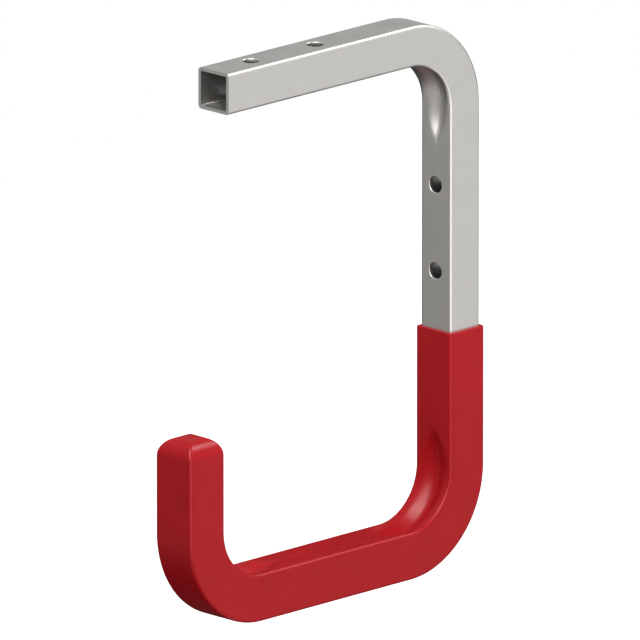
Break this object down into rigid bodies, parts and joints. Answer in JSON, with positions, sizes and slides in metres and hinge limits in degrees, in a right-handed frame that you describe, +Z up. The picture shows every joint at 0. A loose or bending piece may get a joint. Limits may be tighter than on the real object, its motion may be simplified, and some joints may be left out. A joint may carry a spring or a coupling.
{
  "type": "wall hook",
  "caption": "Storage hook of bent square steel tube with screw holes in its leg and its top arm. Red plastic covers the hook's floor and its upright, rounded nose.",
  "frame": {"origin": "on the tube's back face, midway between the two wall holes", "axes": "+Z up along the leg, +Y into the wall, so the arms reach out towards -Y, and +X across the tube"},
  "size_m": [0.0232, 0.196, 0.2694],
  "materials": {
    "zinc_plated_steel": "satin",
    "red_plastic": "satin"
  },
  "bodies": {
    "root": {"bent_tube": "zinc_plated_steel", "plastic_coating": "red_plastic"}
  },
  "joints": []
}
